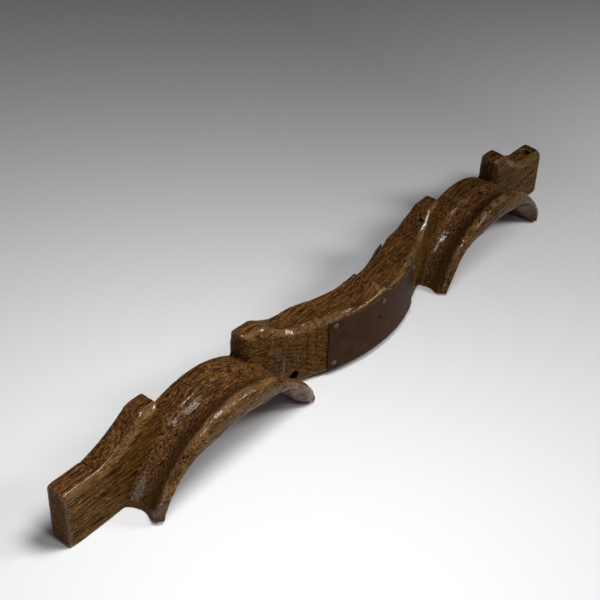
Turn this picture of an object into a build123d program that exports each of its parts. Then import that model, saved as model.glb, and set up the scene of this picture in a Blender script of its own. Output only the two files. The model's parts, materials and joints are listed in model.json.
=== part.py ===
"""Antique oak ox yoke: one carved beam and two nailed iron wear plates.

Millimetres. +X runs along the beam, -Y is the front (the side of the neck lips and
the front plate), +Z is up. The origin is at floor level under the middle of the plank
that the beam is cut from. The two halves of the beam are alike, apart from the hole in
the right end block, the worn ridge on top of the centre, and the rear plate, whose right
end stands up above the wood.
"""
from build123d import *
import math
import os

# ---------------------------------------------------------------- driving dimensions
yoke_length = 1200.0
plank_depth = 98.0  # front to back, of the plank that the beam is cut from
front_limit = -plank_depth / 2
rear_face = plank_depth / 2

# end block and outer horn
block_thickness = 36.0
block_height = 87.0
rise_start = 536.0  # the flat top of the end block ends here and the hollow rise starts
outer_horn_back = 461.0
outer_horn_face = 428.0  # upright face beside the neck arch
outer_horn_height = 128.5
rise_sag = 3.5  # depth of the hollow rise below its chord
horn_fall = 1.0  # a horn's pad is this much lower on the side away from the neck

# inner horn and bowed centre
inner_horn_face = 253.0
inner_horn_back = 215.0
inner_horn_height = 131.0
inner_face_front = 21.0
centre_height = 107.0
slope_foot_x = 181.0  # the straight slope down from the horn ends here
slope_foot = 110.5
dip_x = 155.0  # lowest point of the hollow between the slope and the centre
dip_height = 104.3
centre_underside = 10.0
underside_flat_end = 135.0
underside_foot = 205.0

# plan of the bowed centre: two arcs, one for each face
bow_front = -43.0
bow_front_radius = 310.0
bow_front_reach = 125.0
bow_rear = 17.5
bow_rear_radius = 350.0
bow_rear_reach = 114.0
rear_flat_start = 198.0

# neck collar: arch, cove and flared lip, turned about axes that run front to back
neck_x = 340.5
outer_axis_z = -64.0
inner_axis_z = -98.6
crest_radius = 176.0
crest_front = 13.0
cove_radius = 166.5
cove_y = -11.0
lip_radius = 180.0
lip_top_y = -36.0
nose_radius = 166.0
collar_core = 90.0
hollow_radius = 178.7
hollow_flare_start = -18.0
hollow_flare_radius = 182.0
hollow_rear_ease = 5.0

# each leg of the lip is also cut back by a cone, beside the neck and below it
leg_flare_offset = 57.0
leg_flare_z = -23.0
leg_flare_radius = 100.0
leg_flare_slope = 0.6  # mm of radius lost for each mm behind the lip's front
leg_flare_depth = 36.0

# worn ridge across the top of the centre, as (x, height) from left to right
worn_top = [(-46.0, 105.5), (2.0, 112.0), (17.0, 102.5), (90.0, 106.5)]

# worn edges
front_chamfer = 7.5
rear_chamfer = 2.0
end_rounding = 3.0

# round hole down through the right end block
end_hole_radius = 9.0
end_hole_x = 572.0
end_hole_y = 33.0

# iron plates
plate_thickness = 3.0
plate_half_length = 112.0
plate_bottom = 10.5
plate_top = 101.0
rear_plate_end = 100.0  # the rear plate's right end, where it stands up above the wood
rear_step_start = 38.0
rear_step_end = 72.0
rear_step_top = 112.0

# nails, and the hole that one lost nail has left in the front plate
nail_inset = 10.0
nail_low = 23.0
nail_high = 92.0
nail_middle_x = -4.0
nail_head_radius = 5.4
nail_head_crown = 2.2
nail_head_height = 2.4
nail_head_sides = 8
nail_shank = 4.0
nail_root = 0.5  # the shank's widest section is this far up inside the head
nail_tip = 1.6
nail_length = 27.0
lost_nail_x = -11.0
lost_nail_z = 66.0
lost_nail_radii = (3.0, 4.4)
lost_nail_tilt = -35.0
lost_nail_depth = 20.0


# ---------------------------------------------------------------- wooden beam
def bow(x, crown, radius):
    """Y of a bowed face at x: an arc in plan whose foremost point is (0, crown)."""
    return crown + radius - math.sqrt(radius**2 - x**2)


def bow_points(crown, radius, reach):
    """Three points of a bowed face, from one end of its arc to the other."""
    return [(x, bow(x, crown, radius)) for x in (-reach, 0, reach)]


def end_block():
    """Right end block with its outer horn, from its side outline."""
    with BuildPart() as block:
        with BuildSketch(Plane.XZ.offset(-rear_face)):
            with BuildLine():
                rise = (rise_start, block_height + 1)
                back = (outer_horn_back, outer_horn_height - horn_fall)
                Polyline((outer_horn_face, 0), (yoke_length / 2, 0),
                         (yoke_length / 2, block_height), rise)
                SagittaArc(rise, back, rise_sag)
                Polyline(back, (outer_horn_face, outer_horn_height), (outer_horn_face, 0))
            make_face()
        extrude(amount=block_thickness)
        top = block.edges().filter_by(lambda e: e.center().Z > block_height - 1)
        chamfer(top.group_by(Axis.Y)[0], front_chamfer)
        top = block.edges().filter_by(lambda e: e.center().Z > block_height - 1)
        chamfer(top.group_by(Axis.Y)[-1], rear_chamfer)
        fillet(block.faces().sort_by(Axis.X)[-1].edges(), end_rounding)
        corner = block.edges().filter_by(Axis.Z).sort_by(Axis.X)[:2].sort_by(Axis.Y)[0]
        chamfer(corner, front_chamfer)
    return block.part


def on_worn_top(edge):
    """Whether an edge lies on the worn part of the top, where no chamfer is left."""
    return worn_top[0][0] < edge.center().X < worn_top[-1][0]


def centre_section():
    """Bowed centre between the two inner horns: a side outline cut to a plan."""
    with BuildPart() as centre:
        with BuildSketch(Plane.XZ.offset(-rear_face)):
            with BuildLine():
                back = (inner_horn_back, inner_horn_height - horn_fall)
                Polyline((0, centre_underside), (underside_flat_end, centre_underside),
                         (underside_foot, 0), (inner_horn_face, 0),
                         (inner_horn_face, inner_horn_height), back)
                slope = Line(back, (slope_foot_x, slope_foot))
                Spline(slope @ 1, (dip_x, dip_height), (bow_front_reach, centre_height),
                       tangents=(slope % 1, (-1, 0)))
                mirror(about=Plane.YZ)
                Polyline((-bow_front_reach, centre_height), *worn_top, (bow_front_reach, centre_height))
            make_face()
        extrude(amount=plank_depth)
        with BuildSketch():
            with BuildLine():
                front = ThreePointArc(*bow_points(bow_front, bow_front_radius, bow_front_reach))
                rear = ThreePointArc(*bow_points(bow_rear, bow_rear_radius, bow_rear_reach))
                side = TangentArc(front @ 1, (inner_horn_face, inner_face_front), tangent=front % 1)
                blend = Spline(rear @ 1, (rear_flat_start, rear_face), tangents=(rear % 1, (1, 0)))
                edge = Polyline(side @ 1, (inner_horn_face, rear_face), blend @ 1)
                mirror(side, about=Plane.YZ)
                mirror(blend, about=Plane.YZ)
                mirror(edge, about=Plane.YZ)
            make_face()
        extrude(amount=inner_horn_height + 10, mode=Mode.INTERSECT)
        front = centre.faces().filter_by(lambda f: f.normal_at().Y < -0.5)
        top = centre.faces().filter_by(lambda f: f.normal_at().Z > 0.3)
        edges = front.edges() & top.edges()
        chamfer(edges.filter_by(lambda e: not on_worn_top(e)), front_chamfer)
        upright = centre.edges().filter_by(Axis.Z).filter_by(lambda e: e.center().Y < rear_face - 1)
        chamfer(upright, front_chamfer)
    return centre.part


def neck_collar():
    """Arch over the right neck, with its cove and flared front lip, turned as one ring."""
    side = Plane(origin=(neck_x, 0, outer_axis_z), x_dir=(0, 1, 0), z_dir=(1, 0, 0))
    with BuildPart() as collar:
        with BuildSketch(side):
            with BuildLine():
                crest = Line((rear_face, crest_radius), (crest_front, crest_radius))
                cove = ThreePointArc(crest @ 1, (cove_y, cove_radius), (lip_top_y, lip_radius))
                nose = Spline(cove @ 1, (front_limit, nose_radius), tangents=((-1, -0.1), (0, -1)))
                Polyline(nose @ 1, (front_limit, collar_core), (rear_face, collar_core), crest @ 0)
            make_face()
        revolve(axis=Axis((neck_x, 0, outer_axis_z), (0, 1, 0)))
    return collar.part


def neck_hollow():
    """Space for the right neck: a turned shape that flares to the lip and eases at the rear."""
    side = Plane(origin=(neck_x, 0, inner_axis_z), x_dir=(0, 1, 0), z_dir=(1, 0, 0))
    ease_start = rear_face - 2 * hollow_rear_ease
    with BuildPart() as hollow:
        with BuildSketch(side):
            with BuildLine():
                seat = Line((ease_start, hollow_radius), (hollow_flare_start, hollow_radius))
                flare = Spline(seat @ 1, (front_limit, hollow_flare_radius),
                               tangents=((-1, 0), (-1, 0.4)))
                ease = Spline(seat @ 0, (rear_face, hollow_radius + hollow_rear_ease),
                              tangents=((1, 0), (0.5, 1)))
                Polyline(flare @ 1, (front_limit, 0), (rear_face, 0), ease @ 1)
            make_face()
        revolve(axis=Axis((neck_x, 0, inner_axis_z), (0, 1, 0)))
        for offset in (-leg_flare_offset, leg_flare_offset):
            mouth = Plane(origin=(neck_x + offset, front_limit, leg_flare_z), z_dir=(0, 1, 0))
            throat = leg_flare_radius - leg_flare_slope * leg_flare_depth
            with Locations(mouth):
                Cone(leg_flare_radius, throat, leg_flare_depth,
                     align=(Align.CENTER, Align.CENTER, Align.MIN))
    return hollow.part


# ---------------------------------------------------------------- nails
def front_seat(x, z):
    """Plane on the front face of the bow at x and z, facing out of the wood."""
    lean = math.asin(x / bow_front_radius)
    return Plane(origin=(x, bow(x, bow_front, bow_front_radius), z), x_dir=(0, 0, 1),
                 z_dir=(math.sin(lean), -math.cos(lean), 0))


def rear_seat(x, z):
    """Plane on the rear face of the bow at x and z, facing out of the wood."""
    lean = math.asin(x / bow_rear_radius)
    return Plane(origin=(x, bow(x, bow_rear, bow_rear_radius), z), x_dir=(0, 0, 1),
                 z_dir=(-math.sin(lean), math.cos(lean), 0))


def nail_shanks(seats):
    """Square tapered shanks in the wood at these seats, from inside the heads."""
    with BuildPart() as shanks:
        for wood in seats:
            with BuildSketch(wood.offset(plate_thickness + nail_root)):
                Rectangle(nail_shank, nail_shank)
            with BuildSketch(wood.offset(plate_thickness - nail_length)):
                Rectangle(nail_tip, nail_tip)
            loft()
    return shanks.part


def nail_heads(seats):
    """Hammered nail heads on the plate over these seats: low faceted cones with a small flat."""
    with BuildPart() as heads:
        for wood in seats:
            plate_top_plane = wood.offset(plate_thickness)
            with BuildSketch(plate_top_plane):
                RegularPolygon(nail_head_radius, nail_head_sides)
            with BuildSketch(plate_top_plane.offset(nail_head_height)):
                RegularPolygon(nail_head_crown, nail_head_sides)
            loft()
    return heads.part


with BuildPart() as lost_nail:
    with BuildSketch(front_seat(lost_nail_x, lost_nail_z).offset(plate_thickness + 1)):
        Ellipse(*lost_nail_radii, rotation=lost_nail_tilt)
    extrude(amount=-lost_nail_depth)



def nail_places(left_end, right_end):
    """Where a plate's five nails go, as (x, z): its four corners, and high in the middle."""
    corners = [(x, z) for x in (left_end + nail_inset, right_end - nail_inset)
               for z in (nail_low, nail_high)]
    return [*corners, (nail_middle_x, nail_high)]


front_seats = [front_seat(x, z) for x, z in nail_places(-plate_half_length, plate_half_length)]
rear_seats = [rear_seat(x, z) for x, z in nail_places(-plate_half_length, rear_plate_end)]
front_shanks = nail_shanks(front_seats)
rear_shanks = nail_shanks(rear_seats)

# ---------------------------------------------------------------- pieces
with BuildPart() as yoke_beam:
    add(centre_section())
    for part in (end_block(), neck_collar()):
        add(part)
        add(part.mirror(Plane.YZ))
    hollow = neck_hollow()
    add(hollow, mode=Mode.SUBTRACT)
    add(hollow.mirror(Plane.YZ), mode=Mode.SUBTRACT)
    split(bisect_by=Plane.XY, keep=Keep.TOP)
    with Locations((end_hole_x, end_hole_y, block_height)):
        Hole(end_hole_radius)
    for iron in (front_shanks, rear_shanks, lost_nail.part):
        add(iron, mode=Mode.SUBTRACT)


def bent_strip(crown, wood_radius, skin_radius, left, right, top):
    """Upright iron strip on a bowed face from x left to x right, between two concentric arcs."""
    centre = (0, crown + wood_radius)
    start, end = (math.degrees(math.asin(x / wood_radius)) - 90 for x in (left, right))
    with BuildPart() as strip:
        with BuildSketch(Plane.XY.offset(plate_bottom)):
            with BuildLine():
                wood = CenterArc(centre, wood_radius, start, end - start)
                skin = CenterArc(centre, skin_radius, start, end - start)
                Line(wood @ 0, skin @ 0)
                Line(wood @ 1, skin @ 1)
            make_face()
        extrude(amount=top - plate_bottom)
    return strip.part


with BuildPart() as front_plate:
    add(bent_strip(bow_front, bow_front_radius, bow_front_radius + plate_thickness,
                   -plate_half_length, plate_half_length, plate_top))
    for hole in (front_shanks, lost_nail.part):
        add(hole, mode=Mode.SUBTRACT)

with BuildPart() as rear_plate:
    add(bent_strip(bow_rear, bow_rear_radius, bow_rear_radius - plate_thickness,
                   -plate_half_length, rear_plate_end, rear_step_top))
    with BuildSketch(Plane.XZ.offset(-rear_face)):
        Polygon((-yoke_length / 2, plate_bottom), (yoke_length / 2, plate_bottom),
                (yoke_length / 2, rear_step_top), (rear_step_end, rear_step_top),
                (rear_step_start, plate_top), (-yoke_length / 2, plate_top), align=None)
    extrude(amount=plank_depth, mode=Mode.INTERSECT)
    add(rear_shanks, mode=Mode.SUBTRACT)

with BuildPart() as front_plate_nails:
    add(front_shanks)
    add(nail_heads(front_seats))

with BuildPart() as rear_plate_nails:
    add(rear_shanks)
    add(nail_heads(rear_seats))
    add(rear_plate.part, mode=Mode.SUBTRACT)

# ---------------------------------------------------------------- hand over
os.makedirs("parts", exist_ok=True)
yoke_beam.part.label = "yoke_beam"
front_plate.part.label = "front_plate"
rear_plate.part.label = "rear_plate"
front_plate_nails.part.label = "front_plate_nails"
rear_plate_nails.part.label = "rear_plate_nails"
export_step(yoke_beam.part, "parts/yoke_beam.step")
export_step(front_plate.part, "parts/front_plate.step")
export_step(rear_plate.part, "parts/rear_plate.step")
export_step(front_plate_nails.part, "parts/front_plate_nails.step")
export_step(rear_plate_nails.part, "parts/rear_plate_nails.step")
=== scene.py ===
"""An antique oak ox yoke with nailed iron wear plates, dressed for a studio picture.

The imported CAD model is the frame. The beam, plates and nails shown here are finer
copies of its nodes: each is remeshed evenly, carved and worn in code, and keeps to the
node's place. Everything is in metres: +X along the beam, -Y the front, +Z up.
"""

import itertools
import math

import bpy
import numpy as np
from mathutils import Matrix, Vector
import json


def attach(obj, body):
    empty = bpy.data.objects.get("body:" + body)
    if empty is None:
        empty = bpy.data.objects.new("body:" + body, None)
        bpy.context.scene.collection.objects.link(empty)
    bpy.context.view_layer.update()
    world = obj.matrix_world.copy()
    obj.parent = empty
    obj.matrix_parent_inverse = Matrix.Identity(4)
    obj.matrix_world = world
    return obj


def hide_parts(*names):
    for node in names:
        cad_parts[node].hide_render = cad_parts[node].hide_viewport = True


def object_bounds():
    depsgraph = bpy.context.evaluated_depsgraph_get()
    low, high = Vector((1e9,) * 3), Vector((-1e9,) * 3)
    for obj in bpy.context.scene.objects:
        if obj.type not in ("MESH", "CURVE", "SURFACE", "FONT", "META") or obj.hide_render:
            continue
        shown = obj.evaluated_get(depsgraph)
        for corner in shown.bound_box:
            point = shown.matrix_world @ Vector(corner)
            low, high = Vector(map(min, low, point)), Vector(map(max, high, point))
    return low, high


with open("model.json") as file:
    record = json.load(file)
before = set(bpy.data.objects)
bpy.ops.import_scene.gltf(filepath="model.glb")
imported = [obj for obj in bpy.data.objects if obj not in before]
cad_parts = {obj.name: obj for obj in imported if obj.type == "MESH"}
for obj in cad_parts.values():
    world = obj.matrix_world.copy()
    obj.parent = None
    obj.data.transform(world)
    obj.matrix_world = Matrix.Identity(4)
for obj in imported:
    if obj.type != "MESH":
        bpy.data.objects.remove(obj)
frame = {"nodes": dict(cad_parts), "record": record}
cad_low, cad_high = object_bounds()
length = cad_high.x - cad_low.x
front = cad_low.y
mounts = {mount["name"]: Vector(mount["pos_m"]) for mount in frame["record"]["mounts"]}
neck_x = mounts["right_neck_seat"].x
MM = 0.001

# ---------------------------------------------------------------- camera
CAMERA_PLACE = Vector((-1.0605, -0.6968, 0.9504))  # in yoke lengths, from the origin
CAMERA_YAW = math.radians(53.18)
CAMERA_PITCH = math.radians(35.26)
CAMERA_ROLL = math.radians(2.27)
CAMERA_LENS = 71.9
CAMERA_SENSOR = 36


def make_camera():
    """The photographer's view: from beyond the left end, above and in front."""
    data = bpy.data.cameras.new("camera")
    data.lens = CAMERA_LENS
    data.sensor_width = CAMERA_SENSOR
    camera = bpy.data.objects.new("camera", data)
    bpy.context.scene.collection.objects.link(camera)
    forward = Vector((
        math.sin(CAMERA_YAW) * math.cos(CAMERA_PITCH),
        math.cos(CAMERA_YAW) * math.cos(CAMERA_PITCH),
        -math.sin(CAMERA_PITCH),
    ))
    level = Vector((math.cos(CAMERA_YAW), -math.sin(CAMERA_YAW), 0))
    upright = level.cross(forward)
    across = level * math.cos(CAMERA_ROLL) + upright * math.sin(CAMERA_ROLL)
    above = upright * math.cos(CAMERA_ROLL) - level * math.sin(CAMERA_ROLL)
    turn = Matrix((across, above, -forward)).transposed()
    camera.matrix_world = Matrix.Translation(CAMERA_PLACE * length) @ turn.to_4x4()
    bpy.context.scene.camera = camera


# ---------------------------------------------------------------- studio
FLOOR_HALF = 30
FLOOR_COLOUR = (0.86, 0.86, 0.86, 1)
FLOOR_ROUGHNESS = 0.9
FLOOR_SPECULAR = 0.1
WHITE = (1, 1, 1)
SKY_STRENGTH = 0.035
# lamps: name, place, aim, size, power in watts and colour
LAMPS = [
    ("overhead", (-0.22, -0.29, 1.175), (-1.87, 0.2, 0), 0.5, 15, WHITE),
    ("front_overhead", (-0.6, -0.65, 1.25), (-1.6, 0, 0), 0.35, 4.5, WHITE),
    ("right_front", (0.9, -1.1, 1.1), (0.2, -0.4, 0), 0.55, 14.5, WHITE),
    ("left_window", (-2.8, -0.7, 0.45), (-0.5, 0, 0.05), 1.5, 11, (0.76, 0.87, 1)),
]


def area_light(name, place, aim, size, power, colour):
    """A round soft light at place, turned to aim."""
    data = bpy.data.lights.new(name, "AREA")
    data.shape = "DISK"
    data.size = size
    data.energy = power
    data.color = colour
    light = bpy.data.objects.new(name, data)
    light.location = place
    light.rotation_euler = (Vector(aim) - Vector(place)).to_track_quat("-Z", "Y").to_euler()
    bpy.context.scene.collection.objects.link(light)


def make_studio():
    """A plain pale floor, four soft round lamps and a faint white surround."""
    mesh = bpy.data.meshes.new("studio_floor")
    signs = [(-1, -1), (1, -1), (1, 1), (-1, 1)]
    corners = [(x * FLOOR_HALF, y * FLOOR_HALF, 0) for x, y in signs]
    mesh.from_pydata(corners, [], [(0, 1, 2, 3)])
    floor = bpy.data.objects.new("studio_floor", mesh)
    bpy.context.scene.collection.objects.link(floor)
    material = bpy.data.materials.new("studio_floor")
    material.use_nodes = True
    shader = material.node_tree.nodes["Principled BSDF"]
    shader.inputs["Base Color"].default_value = FLOOR_COLOUR
    shader.inputs["Roughness"].default_value = FLOOR_ROUGHNESS
    shader.inputs["Specular IOR Level"].default_value = FLOOR_SPECULAR
    mesh.materials.append(material)
    for lamp in LAMPS:
        area_light(*lamp)
    world = bpy.data.worlds.new("studio")
    world.use_nodes = True
    background = world.node_tree.nodes["Background"]
    background.inputs["Color"].default_value = (*WHITE, 1)
    background.inputs["Strength"].default_value = SKY_STRENGTH
    bpy.context.scene.world = world
    bpy.context.scene.view_settings.view_transform = "Standard"


# ---------------------------------------------------------------- numbers on a surface
def ramp(value, start, end):
    """0 before start and 1 after end, with a smooth rise between them."""
    share = np.clip((value - start) / (end - start), 0, 1)
    return share * share * (3 - 2 * share)


# large odd numbers that scramble a lattice point: one for each axis, the seed and the mixing
X_SCRAMBLE = 73856093
Y_SCRAMBLE = 19349663
Z_SCRAMBLE = 83492791
SEED_SCRAMBLE = 2654435761
MIX_SCRAMBLE = 1274126177


def lattice(cells, seed):
    """Repeatable numbers from 0 to 1 for whole-number points."""
    mixed = cells[:, 0] * X_SCRAMBLE ^ cells[:, 1] * Y_SCRAMBLE ^ cells[:, 2] * Z_SCRAMBLE
    mixed = mixed ^ seed * SEED_SCRAMBLE
    mixed = (mixed ^ (mixed >> 13)) * MIX_SCRAMBLE & 0xFFFFFFFF
    mixed = (mixed ^ (mixed >> 16)) & 0xFFFF
    return mixed / 0xFFFF


def noise(points, size, seed):
    """Smooth noise from -1 to 1; size is the patch size along each axis, in metres."""
    places = points / np.asarray(size)
    cells = np.floor(places).astype(np.int64)
    part = places - cells
    ease = part * part * (3 - 2 * part)
    total = np.zeros(len(points))
    for corner in itertools.product((0, 1), repeat=3):
        weight = np.prod(np.where(corner, ease, 1 - ease), axis=1)
        total += weight * lattice(cells + np.array(corner), seed)
    return 2 * total - 1


class Surface:
    """An even copy of a CAD node's mesh, with its points as an array that is carved in place."""

    def __init__(self, node, name, voxel):
        self.obj = bpy.data.objects.new(name, frame["nodes"][node].data.copy())
        bpy.context.scene.collection.objects.link(self.obj)
        remesh = self.obj.modifiers.new("even", "REMESH")
        remesh.mode = "VOXEL"
        remesh.voxel_size = voxel
        even = bpy.data.meshes.new_from_object(
            self.obj.evaluated_get(bpy.context.evaluated_depsgraph_get()))
        self.obj.modifiers.clear()
        self.obj.data = even
        self.mesh = even
        self.read()

    def read(self):
        self.points = np.zeros(len(self.mesh.vertices) * 3)
        self.mesh.vertices.foreach_get("co", self.points)
        self.points = self.points.reshape(-1, 3)
        self.edges = np.zeros(len(self.mesh.edges) * 2, np.int64)
        self.mesh.edges.foreach_get("vertices", self.edges)
        self.edges = self.edges.reshape(-1, 2)

    def write(self):
        self.mesh.vertices.foreach_set("co", self.points.ravel())
        self.mesh.update()

    def normals(self):
        self.write()
        out = np.zeros(len(self.mesh.vertices) * 3, np.float32)
        self.mesh.vertex_normals.foreach_get("vector", out)
        return out.reshape(-1, 3).astype(float)

    def neighbour_mean(self, values):
        """Each point's mean of values over the points that it shares an edge with."""
        a, b = self.edges.T
        count = len(values)
        links = np.bincount(a, minlength=count) + np.bincount(b, minlength=count)
        columns = values.reshape(count, -1).T
        sums = [np.bincount(a, c[b], count) + np.bincount(b, c[a], count) for c in columns]
        return (np.array(sums) / np.maximum(links, 1)).T.reshape(values.shape)

    def smooth(self, times, share=0.5):
        """Eases the surface; share is one number, or one for each point."""
        share = np.broadcast_to(share, len(self.points))[:, None]
        for _ in range(times):
            self.points += share * (self.neighbour_mean(self.points) - self.points)

    def roundness(self, times):
        """Above 0 on ridges and edges and below 0 in corners, in metres, over times rings."""
        normals = self.normals()
        mean = self.points
        for _ in range(times):
            mean = self.neighbour_mean(mean)
        return np.sum((self.points - mean) * normals, axis=1)

    def swell(self, amount):
        """Moves each point along its normal."""
        self.points += self.normals() * np.asarray(amount)[:, None]

    def mark(self, name, values):
        """Stores one number for each point, which the material reads."""
        attribute = self.mesh.attributes.new(name, "FLOAT", "POINT")
        attribute.data.foreach_set("value", np.asarray(values, np.float32))

    def finish(self, node, material):
        self.write()
        self.mesh.materials.clear()
        self.mesh.materials.append(material)
        self.mesh.shade_smooth()
        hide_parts(node)
        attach(self.obj, "root")
        return self.obj


def near_line(points, line):
    """Distance of each point from a line through the given places."""
    best = np.full(len(points), 1e9)
    for a, b in zip(line[:-1], line[1:]):
        a, b = np.array(a), np.array(b)
        along = np.clip((points - a) @ (b - a) / np.dot(b - a, b - a), 0, 1)
        best = np.minimum(best, np.linalg.norm(points - a - along[:, None] * (b - a), axis=1))
    return best


# ---------------------------------------------------------------- materials
class Nodes:
    """Short ways to lay out a material's nodes."""

    def __init__(self, name):
        self.material = bpy.data.materials.new(name)
        self.material.use_nodes = True
        self.tree = self.material.node_tree
        self.shader = self.tree.nodes["Principled BSDF"]

    def add(self, kind, inputs=(), **settings):
        node = self.tree.nodes.new("ShaderNode" + kind)
        for key, value in settings.items():
            setattr(node, key, value)
        for key, value in dict(inputs).items():
            if isinstance(value, bpy.types.NodeSocket):
                self.tree.links.new(value, node.inputs[key])
            else:
                node.inputs[key].default_value = value
        return node

    def place(self, scale=(1, 1, 1), turn=(0, 0, 0)):
        """Object coordinates in metres, turned and scaled."""
        coordinates = self.add("TexCoord").outputs["Object"]
        return self.add("Mapping", {"Vector": coordinates, "Scale": scale, "Rotation": turn}).outputs[0]

    def noise(self, scale, detail=3, rough=0.55, twist=0.0, turn=(0, 0, 0)):
        return self.add("TexNoise", {"Vector": self.place(scale, turn), "Scale": 1.0, "Detail": detail,
                                     "Roughness": rough, "Distortion": twist}).outputs["Fac"]

    def math(self, kind, a, b=0.0, clamp=False):
        return self.add("Math", {0: a, 1: b}, operation=kind, use_clamp=clamp).outputs[0]

    def spread(self, value, low, high, to_low=0.0, to_high=1.0):
        return self.add("MapRange", {"Value": value, "From Min": low, "From Max": high,
                                     "To Min": to_low, "To Max": to_high}).outputs[0]

    def mix(self, share, a, b, kind="MIX"):
        node = self.add("Mix", {"Factor": share}, data_type="RGBA", blend_type=kind)
        colours = [s for s in node.inputs if s.type == "RGBA"]
        for socket, value in zip(colours, (a, b)):
            if isinstance(value, bpy.types.NodeSocket):
                self.tree.links.new(value, socket)
            else:
                socket.default_value = (*value, 1)
        return [s for s in node.outputs if s.type == "RGBA"][0]

    def read(self, name):
        return self.add("Attribute", attribute_name=name, attribute_type="GEOMETRY").outputs["Fac"]

    def link(self, output, socket):
        self.tree.links.new(output, self.shader.inputs[socket])


# where the tree's pith runs, how dense its rings are and how far a knot bends them, in metres
PITH_BEHIND = 0.19
PITH_BELOW = 0.11
RINGS_PER_METRE = 190.0
KNOT_PUSH = 0.012

OAK_SPECULAR = 0.03
WAX_ROUGHNESS = 0.16
OAK_BUMP = 0.0009
IRON_SPECULAR = 0.03
IRON_BUMP = 0.0006

# linear colours
RED_DARK = (0.031, 0.0115, 0.0035)
RED_PALE = (0.175, 0.076, 0.022)
GOLDEN_DARK = (0.025, 0.0105, 0.002)
GOLDEN_PALE = (0.19, 0.087, 0.014)
LATE_WOOD = (0.02, 0.008, 0.0025)
BLOTCH_BROWN = (0.026, 0.01, 0.003)
FLECK_TAN = (0.42, 0.21, 0.05)
PORE_BLACK = (0.004, 0.002, 0.0008)
RUBBED_AND_HIGHLIT_OAK = (0.32, 0.185, 0.075)
KNOT_BROWN = (0.012, 0.005, 0.002)
OAK_GRIME_AND_SHADE = (0.004, 0.002, 0.001)

IRON_SCAB = (0.012, 0.007, 0.005)
IRON_GRIT = (0.1, 0.05, 0.026)
RUBBED_IRON = (0.42, 0.38, 0.34)
IRON_GRIME_AND_SHADE = (0.006, 0.004, 0.003)
PLATE_TONE = (0.017, 0.0085, 0.0045)
PLATE_RUST = (0.048, 0.018, 0.0075)
NAIL_TONE = (0.075, 0.056, 0.044)
NAIL_RUST = (0.14, 0.09, 0.06)
PLATE_SMOOTHEST = 0.36
NAIL_SMOOTHEST = 0.3


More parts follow.
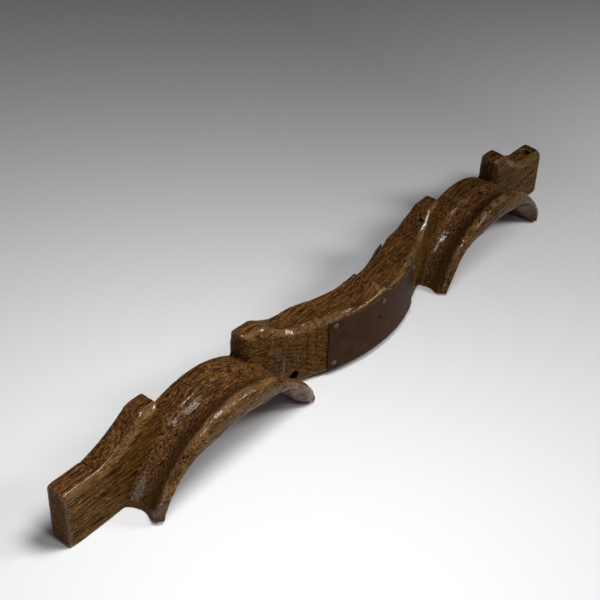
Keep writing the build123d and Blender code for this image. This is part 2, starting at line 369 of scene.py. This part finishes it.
def oak():
    """Waxed dark oak: growth rings, pores and flecks along X; wear and grime from the carving, with
    painted highlights on chamfers and lip edges, painted shade in corners and coves, and front faces
    painted more golden than the tops.
    """
    n = Nodes("waxed_oak")
    wear_and_highlight, grime_and_shade, knot, polish = (n.read(name) for name in ("wear_and_highlight", "grime_and_shade", "knot", "polish"))
    front_face = n.read("front_face")
    # growth rings round a pith that runs along the beam, below and behind it
    axes = n.add("SeparateXYZ", {"Vector": n.place()}).outputs
    wander = n.spread(n.noise((2.2, 9, 9), 3), 0, 1, -0.012, 0.012)
    wander = n.math("ADD", wander, n.math("MULTIPLY", knot, KNOT_PUSH))
    y = n.math("ADD", n.math("ADD", axes[1], -PITH_BEHIND), wander)
    z = n.math("ADD", n.math("ADD", axes[2], PITH_BELOW), n.math("MULTIPLY", wander, 0.7))
    radius = n.math("SQRT", n.math("ADD", n.math("MULTIPLY", y, y), n.math("MULTIPLY", z, z)))
    ripple = n.spread(n.noise((7, 60, 60), 4), 0, 1, -0.0022, 0.0022)
    ring = n.math("FRACT", n.math("MULTIPLY", n.math("ADD", radius, ripple), RINGS_PER_METRE))
    late = n.spread(n.math("ABSOLUTE", n.math("SUBTRACT", ring, 0.5)), 0.3, 0.5)
    # pores, streaks, flecks and blotches
    pores = n.spread(n.noise((30, 400, 400), 4, 0.65), 0.54, 0.6)
    streaks = n.spread(n.noise((13, 300, 300), 6, 0.8), 0.34, 0.66)
    flecks = n.spread(n.noise((130, 480, 480), 4, 0.75, turn=(0, 0, 0.1)), 0.56, 0.64)
    speckle = n.noise((330, 430, 430), 3, 0.75)
    blotch = n.spread(n.noise((10, 24, 24), 5, 0.7), 0.42, 0.62)
    red = n.mix(streaks, RED_DARK, RED_PALE)
    golden = n.mix(streaks, GOLDEN_DARK, GOLDEN_PALE)
    # painted light: faces turned to the front take the golden oak and the tops the red, the tint that
    # the light gives each side
    colour = n.mix(front_face, red, golden)
    colour = n.mix(n.math("MULTIPLY", late, 0.6), colour, LATE_WOOD)
    colour = n.mix(n.math("MULTIPLY", blotch, 0.4), colour, BLOTCH_BROWN)
    colour = n.mix(n.math("MULTIPLY", flecks, 0.65), colour, FLECK_TAN)
    colour = n.mix(n.math("MULTIPLY", pores, 0.9), colour, PORE_BLACK)
    # paler where the wood is rubbed, and painted highlights on the up-and-forward chamfers and the
    # lip's upper edge
    rubbed_and_highlit = n.math("MULTIPLY", wear_and_highlight, n.spread(speckle, 0.3, 0.6), clamp=True)
    colour = n.mix(n.math("MULTIPLY", rubbed_and_highlit, 0.7), colour, RUBBED_AND_HIGHLIT_OAK)
    colour = n.mix(n.spread(knot, 0.72, 0.92), colour, KNOT_BROWN)
    # darker with dirt in cracks and tool strokes, and painted shade in deep corners, the coves and the
    # black pockets
    colour = n.mix(grime_and_shade, colour, OAK_GRIME_AND_SHADE)
    n.link(colour, "Base Color")
    gloss = n.spread(n.noise((60, 200, 200), 4, 0.7), 0.3, 0.7, 0.3, 0.52)
    gloss = n.math("ADD", gloss, n.math("MULTIPLY", grime_and_shade, 0.4))
    gloss = n.math("SUBTRACT", gloss, n.math("MULTIPLY", polish, 0.1))
    n.link(n.math("ADD", gloss, n.math("MULTIPLY", pores, 0.15)), "Roughness")
    wax = n.math("MULTIPLY", polish, n.spread(speckle, 0.38, 0.58, 0.1, 1.0))
    n.link(wax, "Coat Weight")
    height = n.math("ADD", n.math("MULTIPLY", streaks, 0.5), n.math("MULTIPLY", late, -0.3))
    height = n.math("ADD", height, n.math("MULTIPLY", pores, -1.0))
    height = n.math("ADD", height, n.math("MULTIPLY", speckle, 0.7))
    bump = n.add("Bump", {"Height": height, "Strength": 0.7, "Distance": OAK_BUMP})
    n.link(bump.outputs[0], "Normal")
    n.shader.inputs["Specular IOR Level"].default_value = OAK_SPECULAR
    n.shader.inputs["Coat Roughness"].default_value = WAX_ROUGHNESS
    return n.material


def iron(name, tone, rust, smoothest):
    """Old hand-forged iron: tone with clouds of rust, scabs, grit and rubbed edges."""
    n = Nodes(name)
    wear_and_highlight, grime_and_shade = n.read("wear_and_highlight"), n.read("grime_and_shade")
    cloud = n.spread(n.noise((26, 26, 26), 5, 0.65), 0.36, 0.64)
    grit = n.noise((520, 520, 520), 4, 0.7)
    scab = n.spread(n.noise((120, 120, 120), 5, 0.7), 0.52, 0.66)
    colour = n.mix(cloud, tone, rust)
    colour = n.mix(n.math("MULTIPLY", scab, 0.6), colour, IRON_SCAB)
    colour = n.mix(n.math("MULTIPLY", n.spread(grit, 0.4, 0.75), 0.35), colour, IRON_GRIT)
    colour = n.mix(n.math("MULTIPLY", wear_and_highlight, 0.7), colour, RUBBED_IRON)
    # darker in the hollows: dirt, and painted shade
    colour = n.mix(grime_and_shade, colour, IRON_GRIME_AND_SHADE)
    n.link(colour, "Base Color")
    rough = n.spread(cloud, 0, 1, smoothest, smoothest + 0.16)
    rough = n.math("ADD", rough, n.spread(grit, 0.3, 0.7, -0.05, 0.08))
    n.link(n.math("SUBTRACT", rough, n.math("MULTIPLY", wear_and_highlight, 0.12)), "Roughness")
    n.link(n.math("MULTIPLY", wear_and_highlight, 0.6), "Metallic")
    height = n.math("ADD", n.math("MULTIPLY", grit, 0.6), n.math("MULTIPLY", scab, 0.8))
    height = n.math("ADD", height, n.math("MULTIPLY", n.noise((70, 70, 70), 2), 2.0))
    bump = n.add("Bump", {"Height": height, "Strength": 0.4, "Distance": IRON_BUMP})
    n.link(bump.outputs[0], "Normal")
    n.shader.inputs["Specular IOR Level"].default_value = IRON_SPECULAR
    return n.material


# ---------------------------------------------------------------- beam
COLLAR_AXIS_Z = -64 * MM  # the outsides of the arches are turned about this height
HOLLOW_AXIS_Z = -98.6 * MM  # and the hollows under them about this one
LIP_BACK = -20 * MM  # nothing behind this is treated as a lip
LIP_HALF_SPAN = 190 * MM
FOOT_HEIGHT = 80 * MM  # the lips swing sideways below this
FOOT_INSIDE = 100 * MM  # the feet lie between these distances from the neck's middle
FOOT_OUTSIDE = 200 * MM
TOE_BACK = -24 * MM
TOE_HEIGHT = 18 * MM
SKIN_SIDE_EASE = 7 * MM  # how far a toe's bottom corner is drawn in, on its two sides
HOLLOW_SIDE_EASE = 5 * MM
TOE_LIFT = 2 * MM
PAD_LIFT = 3 * MM
END_TOP_MIDDLE = 29 * MM  # the tops of the end blocks tip about a line here
END_TOP_SLOPE = 0.11
PLATE_HALF = 112 * MM  # half the front plate's length
OUTER_HORN_INSIDE = 420 * MM  # a little nearer the middle than the outer horns' upright faces
STROKE_SIZE = (4.5 * MM, 90 * MM, 60 * MM)
BEAM_VOXEL = 1.5  # in mm

# each noise has its own seed; the one of the strokes is used for their shape and their grime
DENT_SEED = 1
SMALL_DENT_SEED = 2
GRAIN_SEED = 3
RIDGE_SEED = 4
STROKE_SEED = 5
JITTER_SEEDS = (51, 52, 53)
PATCH_SEED = 61

# how far each lip tip swings away from its neck's middle; the keys are the side of the yoke
# and the leg of the arch, each -1 for the one towards -X
SWING = {(-1, -1): -1 * MM, (-1, 1): 11 * MM, (1, -1): -7 * MM, (1, 1): 4.5 * MM}

# cracks and scars in mm: places along the line, width, depth and darkness
CRACKS = [
    ([(-541, 8, 88), (-539, 30, 89), (-542, 50, 89)], 1.5, 1.6, 1.0),
    ([(-362, -20, 107), (-360, 14, 112), (-363, 50, 110)], 1.3, 1.2, 0.8),
    ([(-596, 15, 83), (-572, 14, 84), (-548, 14, 82)], 1.1, 1.2, 0.9),
    ([(-44, -46, 106), (-45, -10, 107), (-43, 20, 106)], 1.1, 0.8, 0.6),
    ([(90, -38, 106), (92, 20, 106)], 1.2, 0.6, 0.5),
    # this line is the shallow valley across the top of the centre; its darkness is painted shade
    ([(7, -44, 110), (21, 2, 108)], 3.0, 0.8, 0.25),
    ([(-222, 18, 92), (-205, 13, 74), (-196, 5, 61)], 1.2, 1.2, 0.9),
    ([(-229, 17, 70), (-208, 10, 52), (-202, 2, 40)], 1.1, 1.0, 0.9),
    ([(393, -46, 103), (396, -36, 108), (399, -14, 94)], 1.3, 1.2, 0.8),
    ([(193, 18, 119), (194, 23, 119)], 3.0, 1.4, 1.0),
    ([(580, 19, 87), (582, 19, 87)], 1.5, 0.8, 0.9),
]
# knots in mm: place and radius
KNOTS = [((-512, 13, 29), 15), ((302, -1, 107), 22), ((-560, 13, 26), 11)]
# black pockets beside the feet of the centre, painted shadow in the gaps there, in mm: middle and
# half-sizes
POCKETS = [((side * 160, 3, 21), (13, 7, 10)) for side in (-1, 1)]
POCKET_DEPTH = 3
WORN_RIDGE = [(17, -3, 108), (-16, -48, 111)]  # both its ends, in mm
CRACK_PATCH = 9 * MM  # cracks and pockets waver over patches of this size
CRACK_WAVER = 1.4  # and by up to this many mm along each axis


def shape_feet(beam):
    """Swings the four lip tips by different amounts and eases the corners of their toes."""
    x, y, z = beam.points.T
    for (side, leg), outward in SWING.items():
        across = (x - side * neck_x) * leg
        from_hollow = np.hypot(across, z - HOLLOW_AXIS_Z)
        skin = ramp(from_hollow, 184 * MM, 197 * MM)
        skin = skin * (across > FOOT_INSIDE) * (across < FOOT_OUTSIDE)
        low = ramp(z, FOOT_HEIGHT, 25 * MM) * ramp(y, LIP_BACK, -38 * MM)
        x = x + leg * outward * skin * low
        toe = ramp(y, TOE_BACK, front) * (across > FOOT_INSIDE)
        skin_side = SKIN_SIDE_EASE * ramp(from_hollow, 186 * MM, 197 * MM)
        hollow_side = HOLLOW_SIDE_EASE * ramp(from_hollow, 190 * MM, 181 * MM)
        x = x - leg * (skin_side - hollow_side) * toe * ramp(z, TOE_HEIGHT, 0)
        z = z + TOE_LIFT * toe * ramp(z, 12 * MM, 0)
    beam.points = np.stack([x, y, z], axis=1)


def tilt_end_tops(beam):
    """The tops of the end blocks rise a little towards the back."""
    x, y, z = beam.points.T
    end = ramp(np.abs(x), 427 * MM, 431 * MM) * ramp(z, 60 * MM, 84 * MM) * (y > 8 * MM)
    beam.points[:, 2] += end * (y - END_TOP_MIDDLE) * END_TOP_SLOPE


def wear_down(beam):
    """Rounds the pads, ends, lips and toes more than the rest, and lifts the outer pads."""
    beam.smooth(2)
    x, y, z = beam.points.T
    pads = ramp(z, 110 * MM, 122 * MM)
    ends = ramp(np.abs(x), 588 * MM, 597 * MM)
    beam.smooth(25, 0.5 * np.maximum(pads, 0.5 * ends))
    beam.points[:, 2] += PAD_LIFT * pads * (np.abs(x) > OUTER_HORN_INSIDE)
    lips = ramp(y, LIP_BACK, -34 * MM) * (np.abs(np.abs(x) - neck_x) < LIP_HALF_SPAN)
    beam.smooth(4, 0.5 * lips)
    beam.smooth(18, 0.5 * ramp(z, TOE_HEIGHT, 8 * MM) * ramp(y, -26 * MM, -36 * MM))


def arch_places(x, z):
    """Sideways from the nearer neck's middle, and out from that arch's axis, for each point."""
    across = np.abs(x) - neck_x
    return across, np.hypot(across, z - COLLAR_AXIS_Z)


def weather(beam):
    """Shallow dents and raised grain all over, tool ridges on the lips and beside the plates."""
    p = beam.points
    x, y, z = p.T
    broad = noise(p, (70 * MM, 45 * MM, 45 * MM), DENT_SEED) * 0.6 * MM
    fine = noise(p, (16 * MM, 11 * MM, 11 * MM), SMALL_DENT_SEED) * 0.3 * MM
    grain = noise(p, (22 * MM, 2.6 * MM, 2.6 * MM), GRAIN_SEED) * 0.16 * MM
    across, outward = arch_places(x, z)
    along = np.arctan2(across, z - COLLAR_AXIS_Z) * 180 * MM
    round_arch = np.stack([along, y, outward], axis=1)
    lip = ramp(y, LIP_BACK, -32 * MM) * ramp(z, -10 * MM, 30 * MM)
    lip = lip * (np.abs(across) < LIP_HALF_SPAN)
    ridges = noise(round_arch, (6.5 * MM, 60 * MM, 60 * MM), RIDGE_SEED) * 0.4 * MM * lip
    beside = ramp(np.abs(x), PLATE_HALF, 120 * MM) * ramp(np.abs(x), 200 * MM, 180 * MM)
    strokes = noise(p, STROKE_SIZE, STROKE_SEED) * 0.35 * MM * beside
    beam.swell(broad + fine + grain + ridges + strokes)


def scar(beam):
    """Carves the cracks; returns how dark each point is from cracks, and from black pockets painted as
    shadow.
    """
    dark = np.zeros(len(beam.points))
    cut = np.zeros(len(beam.points))
    shake = [noise(beam.points, (CRACK_PATCH,) * 3, seed) for seed in JITTER_SEEDS]
    jitter = beam.points + np.array(shake).T * CRACK_WAVER * MM
    for line, width, depth, darkness in CRACKS:
        distance = near_line(jitter, np.array(line) * MM)
        near = ramp(distance, width * 1.5 * MM, 0.3 * width * MM)
        cut = np.maximum(cut, near * depth * MM)
        dark = np.maximum(dark, near * darkness)
    for middle, half in POCKETS:
        away = np.linalg.norm((jitter - np.array(middle) * MM) / (np.array(half) * MM), axis=1)
        dark = np.maximum(dark, ramp(away, 1.3, 0.8))
        cut = np.maximum(cut, ramp(away, 1.1, 0.7) * POCKET_DEPTH * MM)
    beam.swell(-cut)
    return dark


# fades from 0 to 1, for the marks on the beam
FRONT_FACE = (0.5, 0.85)
SHARP_EDGE = (0.12 * MM, 0.5 * MM)
ROUNDED_RIDGE = (0.1 * MM, 0.9 * MM)
DEEP_CORNER = (0.3 * MM, 1.7 * MM)
ARCH_RIM = (208 * MM, 197 * MM)
ARCH_ENDS = (174 * MM, 160 * MM)
SHARP_RINGS = 3  # roundness over this many rings of points finds edges
WIDE_RINGS = 14  # and over this many, broad ridges and corners


def mark_beam(beam, dark):
    """Marks where the wood faces the front, where it is worn, polished, dirty or knotted, and where
    highlights and shade are painted on.
    """
    p = beam.points
    x, y, z = p.T
    sharp = beam.roundness(SHARP_RINGS)
    wide = beam.roundness(WIDE_RINGS)
    facing = beam.normals()
    forward = -facing[:, 1]
    upward = facing[:, 2]
    patchy = ramp(noise(p, (14 * MM, 7 * MM, 7 * MM), PATCH_SEED), -0.5, 0.4)

    ridge = ramp(near_line(p, np.array(WORN_RIDGE) * MM), 6 * MM, 1 * MM) * patchy
    slant = ramp(forward, 0.35, 0.5) * ramp(forward, 0.92, 0.82) * ramp(upward, 0.3, 0.42)
    across, outward = arch_places(x, z)
    on_arch = ramp(outward, *ARCH_RIM) * ramp(np.abs(across), *ARCH_ENDS)
    bevel = slant * (1 - on_arch) * (z > 70 * MM)
    lip_edge = on_arch * ramp(y, -26 * MM, -33 * MM)
    lip_edge = lip_edge * ramp(outward, 172 * MM, 178 * MM) * ramp(z, 8 * MM, 30 * MM)
    necks = on_arch * ramp(y, 13 * MM, 9 * MM) * ramp(z, 0, 20 * MM) * ramp(z, 130 * MM, 40 * MM)
    # the cove just behind the lip's upper edge, darkened below as painted shade
    cove = on_arch * ramp(y, -4 * MM, -20 * MM) * ramp(y, -33 * MM, -27 * MM)
    beside = ramp(np.abs(x), PLATE_HALF, 116 * MM) * ramp(np.abs(x), 160 * MM, 140 * MM) * (y < 0)
    strokes = beside * ramp(noise(p, STROKE_SIZE, STROKE_SEED), -0.15, -0.5)
    knots = [1 - np.linalg.norm(p - np.array(place) * MM, axis=1) / (radius * MM)
             for place, radius in KNOTS]

    # wear and painted highlight: rubbed edges and the worn ridge are real wear; the chamfers facing up
    # and forward and the lip's upper edge are painted lighter as highlights
    wear_and_highlight = np.max([
        ramp(sharp, *SHARP_EDGE),
        ridge,
        0.55 * bevel * (0.4 + 0.6 * patchy),
        0.6 * lip_edge * patchy,
    ], axis=0)
    polish = np.max([
        wear_and_highlight,
        bevel,
        0.8 * ramp(wide, *ROUNDED_RIDGE),
        0.9 * necks,
        0.5 * lip_edge * patchy,
    ], axis=0)
    # grime and painted shade: dirt in cracks and tool strokes; painted shade in deep corners and in the
    # cove behind the lip; painted shadow in the black pockets
    grime_and_shade = np.max([
        dark,
        ramp(-wide, *DEEP_CORNER) * 0.85,
        0.35 * cove,
        0.4 * strokes,
    ], axis=0)
    beam.mark("front_face", ramp(forward, *FRONT_FACE))
    beam.mark("wear_and_highlight", wear_and_highlight)
    beam.mark("polish", polish)
    beam.mark("grime_and_shade", grime_and_shade)
    beam.mark("knot", np.clip(np.max(knots, axis=0), 0, 1))


def make_beam(material):
    voxel = BEAM_VOXEL
    beam = Surface("yoke_beam", "carved_beam", voxel * MM)
    shape_feet(beam)
    tilt_end_tops(beam)
    wear_down(beam)
    weather(beam)
    dark = scar(beam)
    beam.points[:, 2] = np.maximum(beam.points[:, 2], cad_low.z + 0.2 * MM)
    mark_beam(beam, dark)
    return beam.finish("yoke_beam", material)


# ---------------------------------------------------------------- plates and nails
PLATE_VOXEL = 0.8  # in mm, like the others
NAIL_VOXEL = 0.45


def make_plate(node, name, material, seed):
    """A forged plate with dents and thinned edges."""
    voxel = PLATE_VOXEL
    plate = Surface(node, name, voxel * MM)
    plate.smooth(2)
    p = plate.points
    broad = noise(p, (17 * MM,) * 3, seed) * 0.35 * MM
    small = noise(p, (5 * MM,) * 3, seed + 1) * 0.1 * MM
    edge = plate.roundness(5)
    plate.swell((broad + small) * 0.6 - ramp(edge, 0.1 * MM, 0.5 * MM) * 0.25 * MM)
    plate.mark("wear_and_highlight", ramp(plate.roundness(3), 0.12 * MM, 0.4 * MM))
    # dirt and painted shade in the plate's hollows
    plate.mark("grime_and_shade", ramp(-plate.roundness(6), 0.1 * MM, 0.5 * MM))
    return plate.finish(node, material)


def make_nails(node, name, material, seed):
    """One plate's hand-made nails, with hammered heads."""
    voxel = NAIL_VOXEL
    nails = Surface(node, name, voxel * MM)
    nails.smooth(3)
    nails.swell(noise(nails.points, (2.4 * MM,) * 3, seed) * 0.22 * MM)
    nails.mark("wear_and_highlight", ramp(nails.roundness(3), 0.05 * MM, 0.2 * MM))
    # dirt and painted shade in the nails' hollows
    nails.mark("grime_and_shade", ramp(-nails.roundness(4), 0.05 * MM, 0.3 * MM))
    return nails.finish(node, material)


make_camera()
make_studio()
make_beam(oak())
plate_iron = iron("forged_plate", PLATE_TONE, PLATE_RUST, PLATE_SMOOTHEST)
nail_iron = iron("hammered_nail", NAIL_TONE, NAIL_RUST, NAIL_SMOOTHEST)
make_plate("front_plate", "front_wear_plate", plate_iron, 11)
make_plate("rear_plate", "rear_wear_plate", plate_iron, 21)
make_nails("front_plate_nails", "front_nails", nail_iron, 31)
make_nails("rear_plate_nails", "rear_nails", nail_iron, 41)
